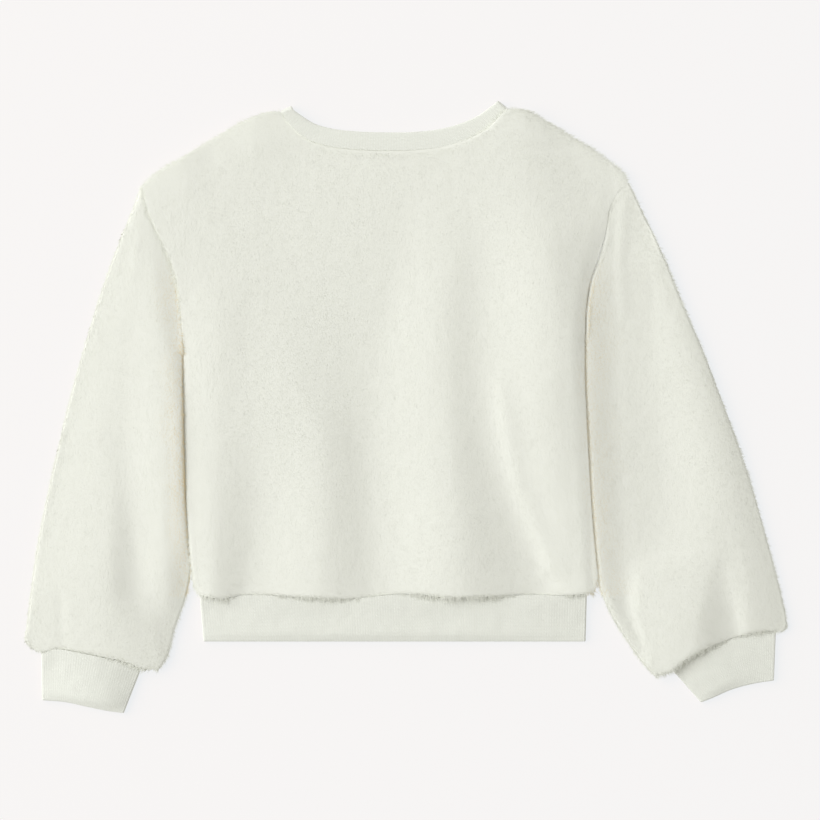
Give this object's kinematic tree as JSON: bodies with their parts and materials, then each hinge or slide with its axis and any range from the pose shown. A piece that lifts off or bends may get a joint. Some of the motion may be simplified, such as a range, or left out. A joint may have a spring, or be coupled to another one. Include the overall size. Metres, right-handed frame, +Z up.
{
  "type": "sherpa fleece pullover laid flat",
  "caption": "Child's plush fleece pullover with dropped shoulders and ribbed neckband, cuffs and hem, laid flat with its back uppermost.",
  "frame": {"origin": "on the resting surface, below the middle of the garment's box", "axes": "+X towards the wearer's right sleeve, +Y towards the neck, +Z up from the surface through the back panel"},
  "size_m": [0.6669, 0.5388, 0.0153],
  "materials": {
    "fleece": "ivory plush pile",
    "rib": "ivory ribbed knit"
  },
  "bodies": {
    "root": {"back_panel": "fleece", "front_panel": "fleece", "left_sleeve": "fleece", "right_sleeve": "fleece", "neckband": "rib", "hem_band": "rib", "left_cuff": "rib", "right_cuff": "rib"}
  },
  "joints": []
}
